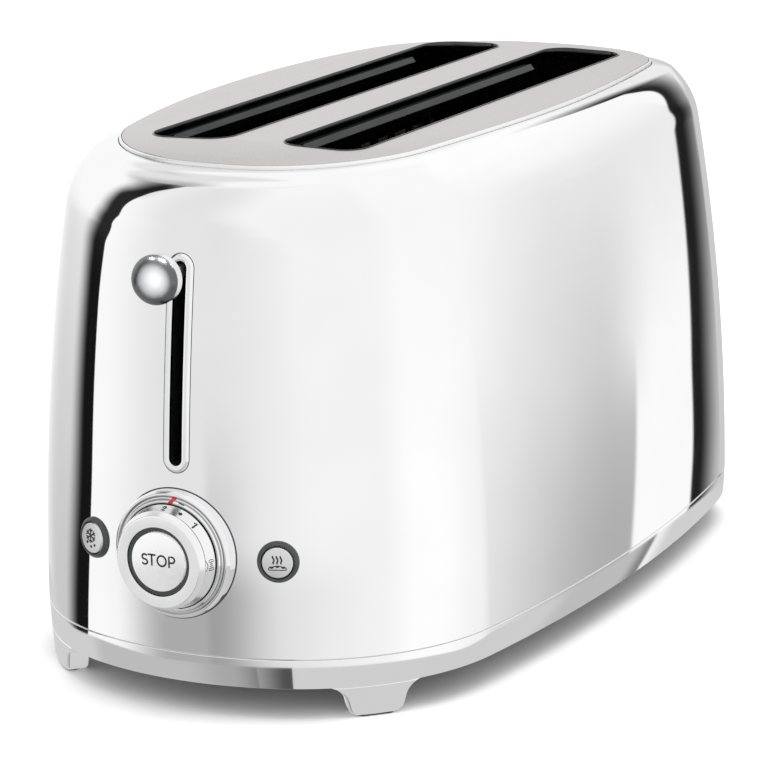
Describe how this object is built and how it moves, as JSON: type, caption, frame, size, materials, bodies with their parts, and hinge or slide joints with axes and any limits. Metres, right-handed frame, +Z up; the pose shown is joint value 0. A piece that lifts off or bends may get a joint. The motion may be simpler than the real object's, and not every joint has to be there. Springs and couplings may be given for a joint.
{
  "type": "toaster",
  "caption": "Long-slot toaster with a rounded chromed body, brushed top plate, side lever, browning dial with stop button, side buttons, closing bread guides and crumb tray.",
  "frame": {"origin": "under the middle of the whole toaster, lever knob included, on the floor that it stands on", "axes": "+X along the length, away from the controls; +Y across the slots; +Z up"},
  "size_m": [0.3972, 0.208, 0.2089],
  "materials": {
    "base_band": "polished",
    "feet": "polished",
    "foot_pads": "matt",
    "base_plate": "matt",
    "base_screws": "plain",
    "body_shell": "polished",
    "top_rim": "polished",
    "top_plate": "brushed",
    "slot_liner_far": "satin",
    "slot_liner_near": "satin",
    "chassis_plate_front": "plain",
    "chassis_plate_rear": "plain",
    "reflector_far": "plain",
    "reflector_near": "plain",
    "lever_bezel": "polished",
    "lever_knob": "polished",
    "lever_collar": "polished",
    "lever_stem": "plain",
    "carriage": "plain",
    "bread_rack_far": "plain",
    "bread_rack_near": "plain",
    "armature_plate": "plain",
    "guide_rod": "plain",
    "return_spring": "plain",
    "electromagnet": "satin",
    "dial_ring": "polished",
    "dial_marker": "gloss",
    "dial_knob": "satin",
    "dial_insert": "matt",
    "dial_shaft": "plain",
    "stop_button": "satin",
    "timer_pot": "matt",
    "control_board": "satin",
    "control_bracket": "plain",
    "board_screws": "plain",
    "tact_switches": "matt",
    "defrost_bezel": "matt",
    "warm_bezel": "matt",
    "defrost_button": "satin",
    "warm_button": "satin",
    "crumb_tray": "polished",
    "tray_rail_far": "plain",
    "tray_rail_near": "plain",
    "cord_gland": "matt",
    "terminal_block": "matt",
    "terminal_screws": "plain",
    "heater_card_1": "matt",
    "heater_ribbon_1": "plain",
    "bread_guide_1": "plain",
    "heater_card_2": "matt",
    "heater_ribbon_2": "plain",
    "bread_guide_2": "plain",
    "heater_card_3": "matt",
    "heater_ribbon_3": "plain",
    "bread_guide_3": "plain",
    "heater_card_4": "matt",
    "heater_ribbon_4": "plain",
    "bread_guide_4": "plain"
  },
  "bodies": {
    "housing": {"base_band": "base_band", "feet": "feet", "foot_pads": "foot_pads", "base_plate": "base_plate", "base_screws": "base_screws", "body_shell": "body_shell", "top_rim": "top_rim", "top_plate": "top_plate", "slot_liner_far": "slot_liner_far", "slot_liner_near": "slot_liner_near", "chassis_plate_front": "chassis_plate_front", "chassis_plate_rear": "chassis_plate_rear", "reflector_far": "reflector_far", "reflector_near": "reflector_near", "lever_bezel": "lever_bezel", "guide_rod": "guide_rod", "return_spring": "return_spring", "electromagnet": "electromagnet", "dial_ring": "dial_ring", "dial_marker": "dial_marker", "timer_pot": "timer_pot", "control_board": "control_board", "control_bracket": "control_bracket", "board_screws": "board_screws", "tact_switches": "tact_switches", "defrost_bezel": "defrost_bezel", "warm_bezel": "warm_bezel", "tray_rail_far": "tray_rail_far", "tray_rail_near": "tray_rail_near", "cord_gland": "cord_gland", "terminal_block": "terminal_block", "terminal_screws": "terminal_screws", "heater_card_1": "heater_card_1", "heater_ribbon_1": "heater_ribbon_1", "heater_card_2": "heater_card_2", "heater_ribbon_2": "heater_ribbon_2", "heater_card_3": "heater_card_3", "heater_ribbon_3": "heater_ribbon_3", "heater_card_4": "heater_card_4", "heater_ribbon_4": "heater_ribbon_4"},
    "lever": {"lever_knob": "lever_knob", "lever_collar": "lever_collar", "lever_stem": "lever_stem", "carriage": "carriage", "bread_rack_far": "bread_rack_far", "bread_rack_near": "bread_rack_near", "armature_plate": "armature_plate"},
    "guide_1": {"bread_guide_1": "bread_guide_1"},
    "guide_2": {"bread_guide_2": "bread_guide_2"},
    "guide_3": {"bread_guide_3": "bread_guide_3"},
    "guide_4": {"bread_guide_4": "bread_guide_4"},
    "dial": {"dial_knob": "dial_knob", "dial_insert": "dial_insert", "dial_shaft": "dial_shaft"},
    "stop": {"stop_button": "stop_button"},
    "defrost": {"defrost_button": "defrost_button"},
    "warm": {"warm_button": "warm_button"},
    "tray": {"crumb_tray": "crumb_tray"}
  },
  "joints": [
    {"name": "lever_slide", "type": "slide", "parent": "housing", "child": "lever", "axis": [0, 0, -1], "range_m": [0, 0.069], "stiffness_N_per_m": 60, "springref_m": -0.06, "deforming": ["return_spring"]},
    {"name": "guide_1_slide", "type": "slide", "parent": "housing", "child": "guide_1", "axis": [0, -1, 0], "range_m": [0, 0.006]},
    {"name": "guide_2_slide", "type": "slide", "parent": "housing", "child": "guide_2", "axis": [0, 1, 0], "range_m": [0, 0.006]},
    {"name": "guide_3_slide", "type": "slide", "parent": "housing", "child": "guide_3", "axis": [0, -1, 0], "range_m": [0, 0.006]},
    {"name": "guide_4_slide", "type": "slide", "parent": "housing", "child": "guide_4", "axis": [0, 1, 0], "range_m": [0, 0.006]},
    {"name": "dial_turn", "type": "hinge", "parent": "housing", "child": "dial", "pos_m": [-0.18315, 0, 0.0628], "axis": [-1, 0, 0], "range_deg": [-170, 91]},
    {"name": "stop_press", "type": "slide", "parent": "dial", "child": "stop", "axis": [1, 0, 0], "range_m": [0, 0.0013], "stiffness_N_per_m": 400, "springref_m": -0.001},
    {"name": "defrost_press", "type": "slide", "parent": "housing", "child": "defrost", "axis": [1, 0, 0], "range_m": [0, 0.0015], "stiffness_N_per_m": 400, "springref_m": -0.001},
    {"name": "warm_press", "type": "slide", "parent": "housing", "child": "warm", "axis": [1, 0, 0], "range_m": [0, 0.0015], "stiffness_N_per_m": 400, "springref_m": -0.001},
    {"name": "tray_slide", "type": "slide", "parent": "housing", "child": "tray", "axis": [1, 0, 0], "range_m": [0, 0.33]}
  ],
  "couplings": [
    {"joint": "guide_1_slide", "follows": "lever_slide", "ratio": 0.0869},
    {"joint": "guide_2_slide", "follows": "lever_slide", "ratio": 0.0869},
    {"joint": "guide_3_slide", "follows": "lever_slide", "ratio": 0.0869},
    {"joint": "guide_4_slide", "follows": "lever_slide", "ratio": 0.0869}
  ]
}
